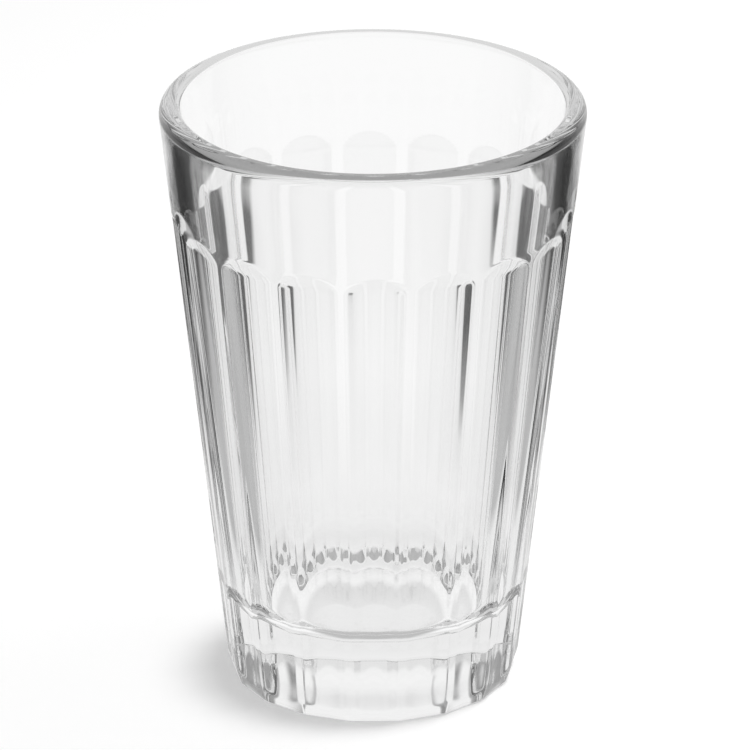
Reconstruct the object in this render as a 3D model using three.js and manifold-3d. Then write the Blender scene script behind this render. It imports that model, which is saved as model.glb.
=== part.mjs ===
// Coffee glass: one pressed piece of clear glass, a tapered tumbler with a plain band under the lip
// and hollow flutes down the wall. Millimetres, +Z up, stands on Z = 0, one flute faces -Y.
import * as THREE from 'three';
import Module from 'manifold-3d';

// Outside of the blank
const HEIGHT = 100.4;
const RIM_DIAMETER = 70;
const FOOT_DIAMETER = 48;

// Lip: a broad round outside and a tighter one inside
const LIP_THICKNESS = 3.7;
const LIP_OUTER_ROUND = 1.9;
const LIP_INNER_ROUND = 1;

// Heel: one flat slope under each flute, so the foot is a polygon with its corners under the ribs
const HEEL_HEIGHT = 2.8;
const HEEL_ANGLE = 19;

// Inside of the glass: the floor is a shallow dish, rounded into the wall
const FLOOR_HEIGHT = 11.6;
const FLOOR_DISH = 90;
const FLOOR_INSET = 2.5;
const FLOOR_FILLET = 5;

// Underside: a flat bearing ring inside the heel, round a shallow domed hollow
const BEARING_WIDTH = 7;
const PUNT_DEPTH = 0.6;

// Flutes: hollow scoops from under the band down to the heel, in proportion to the wall's radius
const FLUTE_COUNT = 18;
const BAND_HEIGHT = 17.7;
const RIB_WIDTH = 1.2;
const FLUTE_HOLLOW = 0.5;
const RUNOUT_ANGLE = 20;
const RUNOUT_RADIUS = 4;
const RUNOUT_REACH = 3;

// Fineness of the round forms
const TURN_STEPS = FLUTE_COUNT * 5;
const CUTTER_STEPS = 120;
const LIP_STEPS = 4;
const FILLET_STEPS = 6;
const DISH_STEPS = 3;
const PUNT_STEPS = 3;
const RUNOUT_STEPS = 3;
const WELD_GRAIN = 1e-5;

const GLASS_COLOUR = 0xf1f5f4;
const GLASS_ROUGHNESS = 0.04;

const wasm = await Module();
wasm.setup();

// Outer cone: radius at a height, and its lean from the upright
const footRadius = FOOT_DIAMETER / 2;
const taper = (RIM_DIAMETER / 2 - footRadius) / HEIGHT;
const lean = Math.atan(taper);
const coneRadius = (z) => footRadius + taper * z;

// Points on a circle in the profile's plane, both ends included, angles in radians
function arcPoints(centre, radius, from, to, steps) {
  const points = [];
  for (let i = 0; i <= steps; i += 1) {
    const angle = from + ((to - from) * i) / steps;
    const x = centre.x + radius * Math.cos(angle);
    const y = centre.y + radius * Math.sin(angle);
    points.push(new THREE.Vector2(x, y));
  }
  return points;
}

// Closed solid for cutting, from a three.js geometry
function solidFrom(geometry) {
  const plain = geometry.clone();
  plain.deleteAttribute('normal');
  plain.deleteAttribute('uv');
  const welded = mergeByPosition(plain);
  const mesh = new wasm.Mesh({ numProp: 3, vertProperties: welded.positions, triVerts: welded.triangles });
  return new wasm.Manifold(mesh);
}

// One vertex for each place, so that seams and poles close; faces that fold to nothing are dropped
function mergeByPosition(geometry) {
  const source = geometry.getAttribute('position');
  const index = geometry.getIndex();
  const places = new Map();
  const positions = [];
  const remap = [];
  for (let i = 0; i < source.count; i += 1) {
    const place = [source.getX(i), source.getY(i), source.getZ(i)];
    const key = place.map((value) => Math.round(value / WELD_GRAIN)).join(',');
    if (!places.has(key)) {
      places.set(key, positions.length / 3);
      positions.push(...place);
    }
    remap.push(places.get(key));
  }
  const triangles = [];
  for (let i = 0; i < index.count; i += 3) {
    const corners = [0, 1, 2].map((step) => remap[index.getX(i + step)]);
    const folded = new Set(corners).size < 3;
    if (!folded) {
      triangles.push(...corners);
    }
  }
  return { positions: new Float32Array(positions), triangles: new Uint32Array(triangles) };
}

// Blank: the whole glass before the flutes, turned from one profile that starts and ends on the axis
function blankProfile() {
  const puntRadius = footRadius - BEARING_WIDTH;
  const domeRadius = (puntRadius ** 2 + PUNT_DEPTH ** 2) / (2 * PUNT_DEPTH);
  const domeCentre = new THREE.Vector2(0, PUNT_DEPTH - domeRadius);
  const domeEdge = Math.acos(puntRadius / domeRadius);

  const outerHeight = HEIGHT - LIP_OUTER_ROUND;
  const outerRadius = coneRadius(outerHeight) - LIP_OUTER_ROUND / Math.cos(lean);
  const outerCentre = new THREE.Vector2(outerRadius, outerHeight);
  const innerRadius = RIM_DIAMETER / 2 - LIP_THICKNESS + LIP_INNER_ROUND;
  const innerCentre = new THREE.Vector2(innerRadius, HEIGHT - LIP_INNER_ROUND);

  const dishCentre = new THREE.Vector2(0, FLOOR_HEIGHT + FLOOR_DISH);
  const filletReach = FLOOR_DISH - FLOOR_FILLET;
  const filletRadius = footRadius - FLOOR_INSET - FLOOR_FILLET;
  const dishEdge = -Math.acos(filletRadius / filletReach);
  const filletCentre = new THREE.Vector2(filletRadius, dishCentre.y + filletReach * Math.sin(dishEdge));
  const span = innerCentre.clone().sub(filletCentre);
  const innerLean = span.angle() - Math.acos((FLOOR_FILLET + LIP_INNER_ROUND) / span.length());

  return [
    new THREE.Vector2(0, PUNT_DEPTH),
    ...arcPoints(domeCentre, domeRadius, Math.PI / 2, domeEdge, PUNT_STEPS).slice(1, -1),
    new THREE.Vector2(puntRadius, 0),
    new THREE.Vector2(footRadius, 0),
    ...arcPoints(outerCentre, LIP_OUTER_ROUND, -lean, Math.PI / 2, LIP_STEPS),
    ...arcPoints(innerCentre, LIP_INNER_ROUND, Math.PI / 2, Math.PI + innerLean, LIP_STEPS),
    ...arcPoints(filletCentre, FLOOR_FILLET, innerLean, dishEdge, FILLET_STEPS),
    ...arcPoints(dishCentre, FLOOR_DISH, dishEdge, -Math.PI / 2, DISH_STEPS).slice(1, -1),
    new THREE.Vector2(0, FLOOR_HEIGHT),
  ];
}

function turnedBlank() {
  const geometry = new THREE.LatheGeometry(blankProfile(), TURN_STEPS);
  geometry.rotateX(Math.PI / 2);
  return solidFrom(geometry);
}

// Heel former: a wide cone of flat sides, one to each flute, that the foot of the blank is trimmed to
function heelFormer() {
  const heelSlope = Math.tan(THREE.MathUtils.degToRad(HEEL_ANGLE));
  const lowRadius = coneRadius(HEEL_HEIGHT) - heelSlope * HEEL_HEIGHT;
  const points = [
    new THREE.Vector2(0, 0),
    new THREE.Vector2(lowRadius, 0),
    new THREE.Vector2(lowRadius + heelSlope * HEIGHT, HEIGHT),
    new THREE.Vector2(0, HEIGHT),
  ];
  const geometry = new THREE.LatheGeometry(points, FLUTE_COUNT, Math.PI / FLUTE_COUNT);
  geometry.rotateX(Math.PI / 2);
  return solidFrom(geometry);
}

// Scoop of a flute at a height: the place of its bottom line, and the radius that leaves the rib
function scoopAt(z) {
  const radius = coneRadius(z);
  const archRadius = coneRadius(HEIGHT - BAND_HEIGHT);
  const hollow = (FLUTE_HOLLOW * radius) / archRadius;
  const halfAngle = Math.PI / FLUTE_COUNT - RIB_WIDTH / 2 / archRadius;
  const halfChord = radius * Math.sin(halfAngle);
  return {
    bottom: radius * Math.cos(halfAngle) - hollow,
    radius: (halfChord ** 2 + hollow ** 2) / (2 * hollow),
  };
}

// Flute cutter: a cone whose innermost line is the bottom of the flute, narrower towards the foot;
// its upper end slopes away from the wall and leaves the arch under the band
function fluteCutter() {
  const archHeight = HEIGHT - BAND_HEIGHT;
  const arch = scoopAt(archHeight);
  const sole = scoopAt(0);
  const fluteDepth = coneRadius(archHeight) - arch.bottom;

  const archRise = (archHeight * arch.radius) / (arch.radius - sole.radius);
  const tipHeight = archHeight - archRise;
  const bottomSlope = (arch.bottom - sole.bottom) / archHeight;
  const tipRadius = arch.bottom - bottomSlope * archRise;
  const bottomLean = Math.atan(bottomSlope);
  const axisLean = Math.atan((arch.bottom + arch.radius - tipRadius) / archRise);
  const spread = axisLean - bottomLean;
  const archAlong = (archRise / Math.cos(bottomLean)) * Math.cos(spread);

  const runoutTurn = THREE.MathUtils.degToRad(RUNOUT_ANGLE);
  const roundLength = RUNOUT_RADIUS * Math.sin(runoutTurn);
  const roundLift = RUNOUT_RADIUS * (1 - Math.cos(runoutTurn));
  const slopeLength = (fluteDepth - roundLift) / Math.tan(runoutTurn);
  const startAlong = archAlong - roundLength - slopeLength;
  const endLength = roundLength + slopeLength * RUNOUT_REACH;

  const along = new THREE.Vector2(Math.sin(spread), Math.cos(spread));
  const inward = new THREE.Vector2(-Math.cos(spread), Math.sin(spread));
  const start = new THREE.Vector2(startAlong * Math.tan(spread), startAlong);
  const foot = start.clone().addScaledVector(along, -HEIGHT);
  const points = [new THREE.Vector2(0, foot.y), foot];
  for (let i = 0; i <= RUNOUT_STEPS; i += 1) {
    const turn = (runoutTurn * i) / RUNOUT_STEPS;
    const ahead = RUNOUT_RADIUS * Math.sin(turn);
    const lift = RUNOUT_RADIUS * (1 - Math.cos(turn));
    points.push(start.clone().addScaledVector(along, ahead).addScaledVector(inward, lift));
  }
  const endLift = roundLift + (endLength - roundLength) * Math.tan(runoutTurn);
  const end = start.clone().addScaledVector(along, endLength).addScaledVector(inward, endLift);
  points.push(end);
  points.push(new THREE.Vector2(0, end.y));

  const geometry = new THREE.LatheGeometry(points, CUTTER_STEPS);
  geometry.rotateX(Math.PI / 2);
  geometry.rotateX(axisLean);
  geometry.translate(0, -tipRadius, tipHeight);
  return geometry;
}

// The glass: blank with its heel trimmed and one flute cut for each place round it
function tumblerGeometry() {
  let solid = turnedBlank().intersect(heelFormer());
  const cutter = fluteCutter();
  for (let i = 0; i < FLUTE_COUNT; i += 1) {
    const placed = cutter.clone();
    placed.rotateZ((2 * Math.PI * i) / FLUTE_COUNT);
    solid = solid.subtract(solidFrom(placed));
  }
  const result = solid.getMesh();
  const geometry = new THREE.BufferGeometry();
  geometry.setAttribute('position', new THREE.BufferAttribute(result.vertProperties, 3));
  geometry.setIndex(new THREE.BufferAttribute(result.triVerts, 1));
  geometry.computeVertexNormals();
  return geometry;
}

const clearGlass = new THREE.MeshStandardMaterial({
  color: GLASS_COLOUR,
  roughness: GLASS_ROUGHNESS,
  metalness: 0,
});

const tumbler = new THREE.Mesh(tumblerGeometry(), clearGlass);
tumbler.name = 'tumbler';

const glass = new THREE.Group();
glass.name = 'coffee_glass';
glass.add(tumbler);

export default glass;
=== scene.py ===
import math

import bpy
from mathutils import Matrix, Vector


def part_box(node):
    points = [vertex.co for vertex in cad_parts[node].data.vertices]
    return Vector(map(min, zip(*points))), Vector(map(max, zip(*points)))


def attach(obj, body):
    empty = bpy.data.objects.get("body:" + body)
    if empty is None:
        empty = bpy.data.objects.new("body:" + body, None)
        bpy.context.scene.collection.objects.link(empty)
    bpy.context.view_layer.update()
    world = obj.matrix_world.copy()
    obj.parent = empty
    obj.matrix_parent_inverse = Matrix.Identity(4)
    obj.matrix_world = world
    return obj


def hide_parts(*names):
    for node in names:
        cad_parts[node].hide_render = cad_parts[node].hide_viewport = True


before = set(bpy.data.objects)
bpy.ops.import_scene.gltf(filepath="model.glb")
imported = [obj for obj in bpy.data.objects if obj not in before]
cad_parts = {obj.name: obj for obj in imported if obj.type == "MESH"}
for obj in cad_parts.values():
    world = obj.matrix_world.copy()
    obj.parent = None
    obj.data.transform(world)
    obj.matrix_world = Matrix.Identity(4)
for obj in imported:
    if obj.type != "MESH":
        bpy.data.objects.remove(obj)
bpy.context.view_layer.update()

# Tumbler: one piece of clear soda-lime glass, pressed between a fluted mould and a plain plunger and
# then fire-polished, so lip, ribs and arches are softly rounded. Hollow flutes run from the band to the
# heel, the inside floor is a shallow dish, and the glass stands on a flat ring round a shallow hollow.
MM = 0.001
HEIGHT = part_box("tumbler")[1][2]
RIM_RADIUS = 35 * MM
FOOT_RADIUS = 24 * MM
LIP_THICKNESS = 3.7 * MM
LIP_OUTER_ROUND = 1.9 * MM
LIP_INNER_ROUND = 1 * MM
BAND_HEIGHT = 17.7 * MM
HEEL_HEIGHT = 2.8 * MM
HEEL_ANGLE = math.radians(19)
SOLE_EDGE = 0.08 * MM
FLOOR_HEIGHT = 11.6 * MM
FLOOR_DISH = 90 * MM
FLOOR_RADIUS = 21.5 * MM
FLOOR_FILLET = 5 * MM
PUNT_RADIUS = 17 * MM
PUNT_DEPTH = 0.6 * MM
TAPER = (RIM_RADIUS - FOOT_RADIUS) / HEIGHT
LEAN = math.atan(TAPER)


def cone_radius(height):
    return FOOT_RADIUS + TAPER * height


# Corner of the foot, where the heel's slope meets the table
HEEL_SLOPE = math.tan(HEEL_ANGLE)
SOLE_RADIUS = cone_radius(HEEL_HEIGHT) - HEEL_SLOPE * HEEL_HEIGHT

# The outer wall has its finest steps at the heel's crease and at the arches of the flutes
CREASE_LOW = 0.3 * HEEL_HEIGHT
CREASE_HIGH = 1.3 * HEEL_HEIGHT
ARCH_HEIGHT = HEIGHT - BAND_HEIGHT
ARCH_LOW = ARCH_HEIGHT - 6 * MM
ARCH_HIGH = ARCH_HEIGHT + 1 * MM
STEPS = {
    "punt": 24, "ring": 8, "edge": 6, "heel": 4, "crease": 32, "wall": 14, "arch": 60,
    "band": 8, "lip": 22, "inside": 14, "fillet": 28, "dish": 16,
}


def arc(centre, radius, start, end, steps):
    """Points of a round stretch of the half section, both ends included"""
    points = []
    for i in range(steps + 1):
        angle = start + (end - start) * i / steps
        points.append((centre[0] + radius * math.cos(angle), centre[1] + radius * math.sin(angle)))
    return points


def line(start, end, steps):
    """Points of a straight stretch of the half section, without its first point"""
    points = []
    for i in range(1, steps + 1):
        share = i / steps
        points.append((start[0] + (end[0] - start[0]) * share, start[1] + (end[1] - start[1]) * share))
    return points


def underside():
    """The hollow from the axis out, falling in a soft wave to the flat ring, and the ring itself"""
    points = []
    for i in range(STEPS["punt"] + 1):
        share = i / STEPS["punt"]
        points.append((PUNT_RADIUS * share, PUNT_DEPTH * (1 + math.cos(math.pi * share)) / 2))
    return points + line(points[-1], (SOLE_RADIUS - SOLE_EDGE, 0), STEPS["ring"])


def outer_wall(top):
    """From the rounded edge of the sole up the heel and the wall to just under the lip"""
    points = []
    for i in range(1, STEPS["edge"] + 1):
        height = SOLE_EDGE * (1 - math.cos(math.pi / 2 * i / STEPS["edge"]))
        points.append((cone_radius(height), height))
    stretches = ((CREASE_LOW, "heel"), (CREASE_HIGH, "crease"), (ARCH_LOW, "wall"), (ARCH_HIGH, "arch"))
    for height, name in stretches:
        points += line(points[-1], (cone_radius(height), height), STEPS[name])
    return points + line(points[-1], top, STEPS["band"])[:-1]


def lip_and_inside():
    """Over the lip, down the inner wall, round the fillet and along the dish to the axis"""
    outer_height = HEIGHT - LIP_OUTER_ROUND
    outer_centre = (cone_radius(outer_height) - LIP_OUTER_ROUND / math.cos(LEAN), outer_height)
    inner_centre = (RIM_RADIUS - LIP_THICKNESS + LIP_INNER_ROUND, HEIGHT - LIP_INNER_ROUND)
    dish_centre = (0, FLOOR_HEIGHT + FLOOR_DISH)
    fillet_reach = FLOOR_DISH - FLOOR_FILLET
    fillet_radius = FLOOR_RADIUS - FLOOR_FILLET
    dish_angle = -math.acos(fillet_radius / fillet_reach)
    fillet_centre = (fillet_radius, dish_centre[1] + fillet_reach * math.sin(dish_angle))
    span = (inner_centre[0] - fillet_centre[0], inner_centre[1] - fillet_centre[1])
    tangent = math.acos((FLOOR_FILLET + LIP_INNER_ROUND) / math.hypot(*span))
    inner_lean = math.atan2(span[1], span[0]) - tangent

    lip = arc(outer_centre, LIP_OUTER_ROUND, -LEAN, math.pi / 2, STEPS["lip"])
    lip += arc(inner_centre, LIP_INNER_ROUND, math.pi / 2, math.pi + inner_lean, STEPS["lip"])
    fillet = arc(fillet_centre, FLOOR_FILLET, inner_lean, dish_angle, STEPS["fillet"])
    dish = arc(dish_centre, FLOOR_DISH, dish_angle, -math.pi / 2, STEPS["dish"])
    return lip + line(lip[-1], fillet[0], STEPS["inside"])[:-1] + fillet + dish[1:]


class Wire:
    """A socket in a node tree: arithmetic on it adds Math nodes, and node() adds any other node"""

    def __init__(self, tree, socket=None):
        self.tree = tree
        self.socket = socket

    def node(self, kind, settings, sockets, output=0):
        made = self.tree.nodes.new(kind)
        for name, value in settings.items():
            if name == "stops":
                self.set_stops(made.color_ramp, value)
            else:
                setattr(made, name, value)
        for name, value in sockets.items():
            if isinstance(value, Wire):
                self.tree.links.new(value.socket, made.inputs[name])
            else:
                made.inputs[name].default_value = value
        return Wire(self.tree, made.outputs[output]) if made.outputs else made

    def set_stops(self, ramp, stops):
        while len(ramp.elements) < len(stops):
            ramp.elements.new(1)
        for element, (place, level) in zip(ramp.elements, stops):
            element.position = place
            element.color = (level, level, level, 1)

    def ease(self, start, end, low=0.0, high=1.0):
        """Goes smoothly from low to high as this value goes from start to end"""
        return self.node("ShaderNodeMapRange", {"interpolation_type": "SMOOTHSTEP"}, {
            "Value": self, "From Min": start, "From Max": end, "To Min": low, "To Max": high})

    def part(self, letter):
        return self.node("ShaderNodeSeparateXYZ", {}, {0: self}, letter)

    def math(self, operation, *values):
        return self.node("ShaderNodeMath", {"operation": operation}, dict(enumerate(values)))

    def __add__(self, other):
        return self.math("ADD", self, other)

    __radd__ = __add__

    def __sub__(self, other):
        return self.math("SUBTRACT", self, other)

    def __rsub__(self, other):
        return self.math("SUBTRACT", other, self)

    def __mul__(self, other):
        return self.math("MULTIPLY", self, other)

    __rmul__ = __mul__

    def __truediv__(self, other):
        return self.math("DIVIDE", self, other)

    def __rtruediv__(self, other):
        return self.math("DIVIDE", other, self)

    def __pow__(self, other):
        return self.math("POWER", self, other)


REFRACTION = 1.52
CLEAR_TINT = (0.985, 0.985, 0.985, 1)
# Painted shade: the grey that the hollows of the flutes on the upper wall are tinted
FLUTE_PAINTED_SHADE = (0.9, 0.901, 0.9, 1)
WAVE_STRETCH = (1, 1, 0.35)
WAVE_SCALE = 110.0
WAVE_DETAIL = 1.0
WAVE_STRENGTH = 0.02
WAVE_DEPTH = 0.5 * MM
SKIN_SCALE = 420.0
SKIN_DETAIL = 2.0
LEAST_ROUGHNESS = 0.004
SKIN_ROUGHNESS = 0.012
HEAVY_BASE = (5 * MM, 24 * MM)
BASE_SHADOW = (0.42, 0.42, 0.42, 1)
WALL_SHADOW = (0.97, 0.97, 0.97, 1)
MOST_MIRRORINGS = 3.5
MOST_CROSSINGS = 11.5
TRAPPED_LIGHT = (0.72, 0.72, 0.72, 1)

# Places of a Mix node's colour sockets
MIX_FIRST = 6
MIX_SECOND = 7
MIX_RESULT = 2


def glass_shadow(wire, place):
    """Shadow of the glass: deep under the heavy base, faint under the wall"""
    heavy = wire.node("ShaderNodeMapRange", {}, {
        "Value": place.part("Z"), "From Min": HEAVY_BASE[0], "From Max": HEAVY_BASE[1],
        "To Min": 1.0, "To Max": 0.0})
    faint = wire.node("ShaderNodeBsdfTransparent", {}, {"Color": WALL_SHADOW})
    deep = wire.node("ShaderNodeBsdfTransparent", {}, {"Color": BASE_SHADOW})
    return wire.node("ShaderNodeMixShader", {}, {0: heavy, 1: faint, 2: deep})


def glass_material():
    """Clear glass with the faint waves and the slightly dulled skin that pressing leaves, and painted shade
    that tints the hollows of the upper flutes grey; light that stays trapped in the wall for long is let out
    dimmed"""
    material = bpy.data.materials.new("clear_glass")
    material.use_nodes = True
    material.node_tree.nodes.clear()
    wire = Wire(material.node_tree)
    place = wire.node("ShaderNodeTexCoord", {}, {}, "Object")
    stretched = wire.node("ShaderNodeMapping", {}, {"Vector": place, "Scale": WAVE_STRETCH})
    waves = wire.node("ShaderNodeTexNoise", {}, {
        "Vector": stretched, "Scale": WAVE_SCALE, "Detail": WAVE_DETAIL}, "Fac")
    skin = wire.node("ShaderNodeTexNoise", {}, {
        "Vector": place, "Scale": SKIN_SCALE, "Detail": SKIN_DETAIL}, "Fac")
    # Painted shade: the stored mask of the flute hollows on the upper wall picks the grey tint
    hollow = wire.node("ShaderNodeAttribute", {"attribute_name": "hollow"}, {}, "Fac")
    tint_and_flute_shade = wire.node("ShaderNodeMix", {"data_type": "RGBA"}, {
        "Factor": hollow, MIX_FIRST: CLEAR_TINT, MIX_SECOND: FLUTE_PAINTED_SHADE}, MIX_RESULT)
    bump = wire.node("ShaderNodeBump", {}, {
        "Height": waves, "Strength": WAVE_STRENGTH, "Distance": WAVE_DEPTH})
    surface = wire.node("ShaderNodeBsdfPrincipled", {}, {
        "Base Color": tint_and_flute_shade, "Roughness": LEAST_ROUGHNESS + SKIN_ROUGHNESS * skin, "IOR": REFRACTION,
        "Transmission Weight": 1.0, "Normal": bump})

    mirrorings = wire.node("ShaderNodeLightPath", {}, {}, "Glossy Depth")
    crossings = wire.node("ShaderNodeLightPath", {}, {}, "Ray Depth")
    mirrored_often = wire.math("GREATER_THAN", mirrorings, MOST_MIRRORINGS)
    crossed_often = wire.math("GREATER_THAN", crossings, MOST_CROSSINGS)
    trapped = wire.math("MAXIMUM", mirrored_often, crossed_often)
    let_out = wire.node("ShaderNodeBsdfTransparent", {}, {"Color": TRAPPED_LIGHT})
    clear = wire.node("ShaderNodeMixShader", {}, {0: trapped, 1: surface, 2: let_out})
    shadow_ray = wire.node("ShaderNodeLightPath", {}, {}, "Is Shadow Ray")
    whole = wire.node("ShaderNodeMixShader", {}, {0: shadow_ray, 1: clear, 2: glass_shadow(wire, place)})
    wire.node("ShaderNodeOutputMaterial", {}, {"Surface": whole})
    return material


PRESS_SIZES = {
    "Flute Count": 18,
    "Columns per Flute": 20,
    "Rib Crowding": 0.6,
    "Foot Radius": FOOT_RADIUS,
    "Taper": TAPER,
    "Arch Height": ARCH_HEIGHT,
    "Rib Width": 1.2 * MM,
    "Rib Drop": 0.1 * MM,
    "Rib Drop Length": 3 * MM,
    "Rib Softness": 0.2 * MM,
    "Flute Hollow": 0.5 * MM,
    "Run-out Angle": math.radians(20),
    "Run-out Radius": 4.0 * MM,
    "Heel Radius": SOLE_RADIUS,
    "Heel Slope": HEEL_SLOPE,
    "Heel Softness": 0.2 * MM,
    "Sole Edge": SOLE_EDGE,
    # Where the painted shade of the flute hollows starts across the flute and up the wall
    "Flute Shade Edge Outside": -0.03 * MM,
    "Flute Shade Edge Inside": 0.05 * MM,
    "Flute Shade Low": 42 * MM,
    "Flute Shade High": 60 * MM,
    "Weld": 0.002 * MM,
}

# Keeps a point's number clear of the next row when a division is rounded down
INDEX_GUARD = 0.5


def press_tree():
    """An empty tree with inputs for the half section, each size and the material"""
    tree = bpy.data.node_groups.new("fluted_glass", "GeometryNodeTree")
    tree.interface.new_socket("Half Section", in_out="INPUT", socket_type="NodeSocketGeometry")
    for name, value in PRESS_SIZES.items():
        kind = "NodeSocketInt" if isinstance(value, int) else "NodeSocketFloat"
        tree.interface.new_socket(name, in_out="INPUT", socket_type=kind)
    tree.interface.new_socket("Material", in_out="INPUT", socket_type="NodeSocketMaterial")
    tree.interface.new_socket("Glass", in_out="OUTPUT", socket_type="NodeSocketGeometry")
    return tree


def on_section(wire, size, station, value, kind):
    """What the half section holds at one of its points"""
    return wire.node("GeometryNodeSampleIndex", {"data_type": kind}, {
        "Geometry": size["Half Section"], "Value": value, "Index": station})


def section_mark(wire, size, station, name):
    mark = wire.node("GeometryNodeInputNamedAttribute", {"data_type": "FLOAT"}, {"Name": name})
    return on_section(wire, size, station, mark, "FLOAT")


def scooped_radius(wire, size, height, cone, off_middle, pitch):
    """Radius of the flutes' scoops, in proportion to the wall, with their run-out under the band"""
    arch_radius = size["Foot Radius"] + size["Taper"] * size["Arch Height"]
    half_angle = pitch / 2 - size["Rib Width"] / 2 / arch_radius
    half_chord = arch_radius * wire.math("SINE", half_angle)
    hollow = size["Flute Hollow"]
    scoop_radius = (half_chord ** 2 + hollow ** 2) / (2 * hollow)
    bottom_radius = arch_radius * wire.math("COSINE", half_angle) - hollow
    axis_radius = bottom_radius + scoop_radius
    side = axis_radius * wire.math("SINE", off_middle)
    reach = wire.math("SQRT", scoop_radius ** 2 - side * side)
    scoop = cone / arch_radius * (axis_radius * wire.math("COSINE", off_middle) - reach)

    turn = size["Run-out Angle"]
    round_length = size["Run-out Radius"] * wire.math("SINE", turn)
    round_lift = size["Run-out Radius"] * (1 - wire.math("COSINE", turn))
    slope_length = (arch_radius - bottom_radius - round_lift) / wire.math("TANGENT", turn)
    climb = wire.math("MAXIMUM", height - size["Arch Height"] + round_length + slope_length, 0)
    in_round = wire.math("MINIMUM", climb, round_length)
    past_round = (climb - in_round) * wire.math("TANGENT", turn)
    round_reach = wire.math("SQRT", size["Run-out Radius"] ** 2 - in_round * in_round)
    return scoop + (size["Run-out Radius"] - round_reach + past_round)


def heel_radius(wire, size, height, facet):
    """Radius of the heel's flat slopes, rounded off at the sole"""
    near_sole = wire.math("MAXIMUM", 1 - height / size["Sole Edge"], 0)
    edge_drop = size["Sole Edge"] * (1 - wire.math("SQRT", 1 - near_sole * near_sole))
    return facet * (size["Heel Radius"] + size["Heel Slope"] * height - edge_drop)


def fluted_glass_tree():
    """Spins the half section round the axis and presses the flutes into its heel and outer wall"""
    tree = press_tree()
    wire = Wire(tree)
    entry = tree.nodes.new("NodeGroupInput")
    size = {socket.name: Wire(tree, socket) for socket in entry.outputs if socket.name}

    stations = wire.node("GeometryNodeAttributeDomainSize", {"component": "MESH"}, {0: size["Half Section"]})
    columns = size["Flute Count"] * size["Columns per Flute"]
    sheet = wire.node("GeometryNodeMeshGrid", {}, {"Vertices X": columns + 1, "Vertices Y": stations})
    index = wire.node("GeometryNodeInputIndex", {}, {})
    column = wire.math("FLOOR", (index + INDEX_GUARD) / stations)
    station = index - column * stations
    position = wire.node("GeometryNodeInputPosition", {}, {})
    spot = on_section(wire, size, station, position, "FLOAT_VECTOR")
    radius = spot.part("X")
    height = spot.part("Z")
    fluted = section_mark(wire, size, station, "fluted")
    cornered = section_mark(wire, size, station, "cornered")

    pitch = math.tau / size["Flute Count"]
    flute = wire.math("FLOOR", (column + INDEX_GUARD) / size["Columns per Flute"])
    across = 2 * (column / size["Columns per Flute"] - flute) - 1
    crowded = across + size["Rib Crowding"] / math.pi * wire.math("SINE", across * math.pi)
    off_middle = pitch / 2 * crowded
    angle = flute * pitch + off_middle

    cone = size["Foot Radius"] + size["Taper"] * height
    drop_end = size["Arch Height"] - size["Rib Drop Length"]
    ribbed = cone - height.ease(size["Arch Height"], drop_end, 0.0, size["Rib Drop"])
    scooped = scooped_radius(wire, size, height, cone, off_middle, pitch)
    pressed = wire.math("SMOOTH_MIN", scooped, ribbed, size["Rib Softness"])
    facet = wire.math("COSINE", pitch / 2) / wire.math("COSINE", off_middle)
    heel = heel_radius(wire, size, height, facet)
    outer = wire.math("SMOOTH_MIN", pressed, heel, size["Heel Softness"])
    plain = radius * (1 + (facet - 1) * cornered)
    final = plain + (outer - plain) * fluted

    # Painted shade: marks the hollows of the flutes on the upper wall, which the glass tints grey
    inside_shaded_flute = (ribbed - scooped).ease(size["Flute Shade Edge Outside"], size["Flute Shade Edge Inside"])
    upper_shade = height.ease(size["Flute Shade Low"], size["Flute Shade High"])
    marked = wire.node("GeometryNodeStoreNamedAttribute", {"data_type": "FLOAT", "domain": "POINT"}, {
        "Geometry": sheet, "Name": "hollow", "Value": inside_shaded_flute * fluted * upper_shade})
    spun = wire.node("ShaderNodeCombineXYZ", {}, {
        "X": final * wire.math("SINE", angle), "Y": final * wire.math("COSINE", angle) * -1, "Z": height})
    shell = wire.node("GeometryNodeSetPosition", {}, {"Geometry": marked, "Position": spun})
    closed = wire.node("GeometryNodeMergeByDistance", {}, {"Geometry": shell, "Distance": size["Weld"]})
    smooth = wire.node("GeometryNodeSetShadeSmooth", {}, {"Geometry": closed})
    real = wire.node("GeometryNodeRealizeInstances", {}, {"Geometry": smooth})
    finished = wire.node("GeometryNodeSetMaterial", {}, {"Geometry": real, "Material": size["Material"]})
    wire.node("NodeGroupOutput", {}, {"Glass": finished})
    return tree


def make_half_section():
    """Outline of the glass from the middle of its underside round to the middle of the inside floor; it
    marks where the flutes are pressed in, and where the flat ring takes on the foot's corners"""
    under = underside()
    inside = lip_and_inside()
    wall = outer_wall(inside[0])
    points = under + wall + inside
    section = bpy.data.meshes.new("half_section")
    section.from_pydata([(x, 0, z) for x, z in points], [(i, i + 1) for i in range(len(points) - 1)], [])
    fluted = section.attributes.new("fluted", "FLOAT", "POINT")
    for i in range(len(wall)):
        fluted.data[len(under) + i].value = 1.0
    cornered = section.attributes.new("cornered", "FLOAT", "POINT")
    for i in range(STEPS["ring"]):
        cornered.data[len(under) - 1 - i].value = 1.0 - i / STEPS["ring"]
    former = bpy.data.objects.new("half_section", section)
    bpy.context.scene.collection.objects.link(former)
    return former


def make_tumbler():
    """The glass as one closed mesh at the origin"""
    former = make_half_section()
    tree = fluted_glass_tree()
    press = former.modifiers.new("press", "NODES")
    press.node_group = tree
    for socket in tree.interface.items_tree:
        if socket.name in PRESS_SIZES:
            press[socket.identifier] = PRESS_SIZES[socket.name]
        if socket.name == "Material":
            press[socket.identifier] = glass_material()
    evaluated = former.evaluated_get(bpy.context.evaluated_depsgraph_get())
    mesh = bpy.data.meshes.new_from_object(evaluated)
    former.modifiers.remove(press)
    bpy.data.objects.remove(former)
    mesh.name = "pressed_glass"
    piece = bpy.data.objects.new("pressed_glass", mesh)
    bpy.context.scene.collection.objects.link(piece)
    return piece


pressed_glass = make_tumbler()
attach(pressed_glass, "root")
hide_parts("tumbler")
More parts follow.
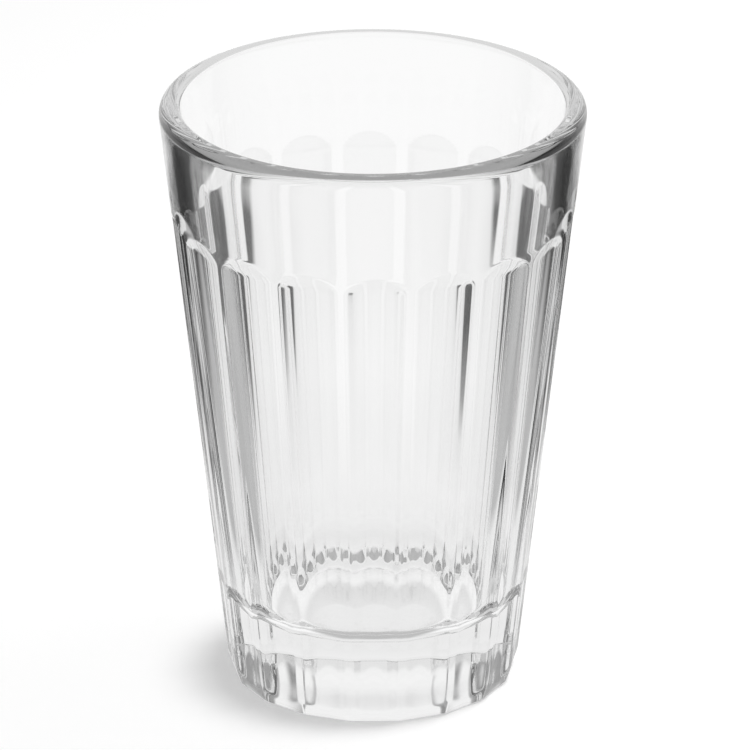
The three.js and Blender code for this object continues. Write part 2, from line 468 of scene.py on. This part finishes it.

# Floor: a plain white table top, a hair below the glass so that their faces don't coincide. What the
# glass sees of it is painted into its glow: a white strip between two dark cards, which draw the dark
# edges, and painted shade round the foot with a painted bright ring under the foot's edge. Places are in
# metres, and each level belongs to a place.
FLOOR_SIZE = 6.0
FLOOR_GAP = 0.05 * MM
FLOOR_COLOUR = (0.9, 0.9, 0.9, 1)
FLOOR_GLOW = 0.13
GLOW_COLOUR = (1, 1, 1, 1)
CARD_REACH = 0.3
CARD_LEVELS = (
    (0.0, 1.0), (0.03, 1.0), (0.05, 0.94), (0.058, 0.88), (0.067, 0.06),
    (0.09, 0.03), (0.17, 0.04), (0.2, 0.35), (0.24, 0.6))
CARD_MIDDLE = 0.005
CARD_START = -0.2
CARD_LENGTH = 0.42
CARD_SHARES = (
    (0.0, 0.0), (0.04, 0.3), (0.15, 0.3), (0.18, 0.5), (0.26, 0.5), (0.31, 1.0), (0.38, 1.0), (0.405, 0.0))
TABLE_REACH = 0.25
# Painted shade round the foot, and a painted bright ring under its edge, by distance from the axis
TABLE_LEVELS = (
    (0.0, 0.86), (0.012, 0.84), (0.0165, 0.78), (0.019, 1.0), (0.0225, 1.0), (0.0238, 0.8), (0.026, 0.87),
    (0.034, 0.83), (0.045, 0.87), (0.06, 0.89), (0.085, 0.92), (0.12, 0.98), (0.18, 0.98))
UNDER_REACH = 0.0236
UNDER_FRONT = (-0.0185, -0.0125)
UNDER_SHADE = 0.5


def level_at(wire, distance, stops, reach):
    """Grey level at a distance, between the stops"""
    shares = [(spot / reach, level) for spot, level in stops]
    return wire.node("ShaderNodeValToRGB", {"stops": shares}, {0: distance / reach}, "Color")


def ray_of_glass(wire):
    """1 for what the glass shows, by refraction or reflection, and 0 for the rest"""
    through = wire.node("ShaderNodeLightPath", {}, {}, "Is Transmission Ray")
    mirrored = wire.node("ShaderNodeLightPath", {}, {}, "Is Glossy Ray")
    return wire.math("MAXIMUM", through, mirrored)


def floor_material():
    """Matt white that takes the shadow; the glass sees the strip, the cards and the shade instead"""
    material = bpy.data.materials.new("white_table")
    material.use_nodes = True
    material.node_tree.nodes.clear()
    wire = Wire(material.node_tree)
    place = wire.node("ShaderNodeTexCoord", {}, {}, "Object")
    away = place.part("Y")
    aside = wire.math("ABSOLUTE", place.part("X") - CARD_MIDDLE)
    distance = wire.node("ShaderNodeVectorMath", {"operation": "LENGTH"}, {0: place}, "Value")
    cards = level_at(wire, aside, CARD_LEVELS, CARD_REACH)
    share = level_at(wire, away - CARD_START, CARD_SHARES, CARD_LENGTH)
    table = level_at(wire, distance, TABLE_LEVELS, TABLE_REACH)
    front = away.ease(*UNDER_FRONT, UNDER_SHADE, 1.0)
    under = wire.math("LESS_THAN", distance, UNDER_REACH)
    level = table * (1 + (cards - 1) * share) * (1 + (front - 1) * under)
    seen_in_glass = wire.node("ShaderNodeEmission", {}, {"Color": level, "Strength": 1.0})

    matt = wire.node("ShaderNodeBsdfDiffuse", {}, {"Color": FLOOR_COLOUR})
    glow = wire.node("ShaderNodeEmission", {}, {"Color": GLOW_COLOUR, "Strength": FLOOR_GLOW})
    bright = wire.node("ShaderNodeAddShader", {}, {0: matt, 1: glow})
    camera_ray = wire.node("ShaderNodeLightPath", {}, {}, "Is Camera Ray")
    lit = wire.node("ShaderNodeMixShader", {}, {0: camera_ray, 1: matt, 2: bright})
    whole = wire.node("ShaderNodeMixShader", {}, {0: ray_of_glass(wire), 1: lit, 2: seen_in_glass})
    wire.node("ShaderNodeOutputMaterial", {}, {"Surface": whole})
    return material


def make_floor():
    half = FLOOR_SIZE / 2
    low = -FLOOR_GAP
    corners = [(-half, -half, low), (half, -half, low), (half, half, low), (-half, half, low)]
    mesh = bpy.data.meshes.new("table_top")
    mesh.from_pydata(corners, [], [(0, 1, 2, 3)])
    mesh.materials.append(floor_material())
    table = bpy.data.objects.new("table_top", mesh)
    bpy.context.scene.collection.objects.link(table)
    return table


make_floor()

# Studio light: one soft box above right and a little behind, whose soft shadow falls to the front left,
# in an even pale room. What the glass sees of the room is white behind, dimmer on the camera's side, and
# has a dark panel hung at each side. The ranges are shares of a direction's length along one axis.
LAMP_PLACE = (0.34, 0.12, 0.95)
LAMP_SIZE = 0.3
LAMP_POWER = 7.6
ROOM_FILL = 0.36
ROOM_BACK = 0.92
ROOM_SIDE = 0.7
ROOM_FRONT = 0.45
ROOM_LOW = 0.85
ROOM_TOP = 0.74
FRONT_RISE = (0.1, 0.35)
SIDE_DEPTH = (-0.1, 0.4)
BACK_DEPTH = (0.5, 0.9)
TOP_RISE = (0.4, 0.75)
PANEL_SIDE = (0.4, 0.58)
PANEL_RISE = (0.14, 0.24)
PANEL_SHADE = 0.7


def make_lamp():
    light = bpy.data.lights.new("soft_box", "AREA")
    light.energy = LAMP_POWER
    light.size = LAMP_SIZE
    lamp = bpy.data.objects.new("soft_box", light)
    lamp.location = LAMP_PLACE
    lamp.visible_glossy = False
    lamp.visible_transmission = False
    x, y, z = LAMP_PLACE
    lamp.rotation_euler = (math.atan2(math.hypot(x, y), z), 0, math.atan2(x, -y))
    bpy.context.scene.collection.objects.link(lamp)


def make_room():
    """Even fill for the table; the glass sees the walls, the ceiling and the side panels instead"""
    world = bpy.data.worlds.new("studio")
    world.use_nodes = True
    world.node_tree.nodes.clear()
    wire = Wire(world.node_tree)
    direction = wire.node("ShaderNodeTexCoord", {}, {}, "Generated")
    right = direction.part("X")
    away = direction.part("Y")
    up = direction.part("Z")
    front = up.ease(*FRONT_RISE, ROOM_LOW, ROOM_FRONT)
    side = away.ease(*SIDE_DEPTH, front, ROOM_SIDE)
    back = away.ease(*BACK_DEPTH, 0.0, ROOM_BACK - ROOM_SIDE)
    panel = wire.math("ABSOLUTE", right).ease(*PANEL_SIDE, 0.0, PANEL_SHADE) * up.ease(*PANEL_RISE)
    wall = (side + back) * (1 - panel)
    seen = wall + (ROOM_TOP - wall) * up.ease(*TOP_RISE)
    level = ROOM_FILL + (seen - ROOM_FILL) * ray_of_glass(wire)
    glow = wire.node("ShaderNodeBackground", {}, {"Color": level, "Strength": 1.0})
    wire.node("ShaderNodeOutputWorld", {}, {"Surface": glow})
    bpy.context.scene.world = world


make_lamp()
make_room()

# Camera: a long lens from the front, well above the rim, so that the mouth opens into an ellipse and the
# inside floor shows through the wall. The pixel that it aims at sets how the glass sits in the picture.
PHOTO_SIZE = 750
CAMERA_TURN = math.radians(-1.0)
CAMERA_RISE = math.radians(23.17)
CAMERA_DISTANCE = 1.2961
AIM_HEIGHT = 0.04907
FOCAL_PIXELS = 7866.9
AIM_PIXEL = (372.9, 391.89)
SENSOR_WIDTH = 36.0


def make_camera():
    camera = bpy.data.cameras.new("long_lens")
    camera.sensor_width = SENSOR_WIDTH
    camera.lens = FOCAL_PIXELS * SENSOR_WIDTH / PHOTO_SIZE
    camera.shift_x = (PHOTO_SIZE / 2 - AIM_PIXEL[0]) / PHOTO_SIZE
    camera.shift_y = (AIM_PIXEL[1] - PHOTO_SIZE / 2) / PHOTO_SIZE
    stand = bpy.data.objects.new("long_lens", camera)
    out = CAMERA_DISTANCE * math.cos(CAMERA_RISE)
    up = AIM_HEIGHT + CAMERA_DISTANCE * math.sin(CAMERA_RISE)
    stand.location = (out * math.sin(CAMERA_TURN), -out * math.cos(CAMERA_TURN), up)
    stand.rotation_euler = (math.pi / 2 - CAMERA_RISE, 0, CAMERA_TURN)
    bpy.context.scene.collection.objects.link(stand)
    bpy.context.scene.camera = stand


make_camera()
bpy.context.scene.view_settings.view_transform = "Standard"
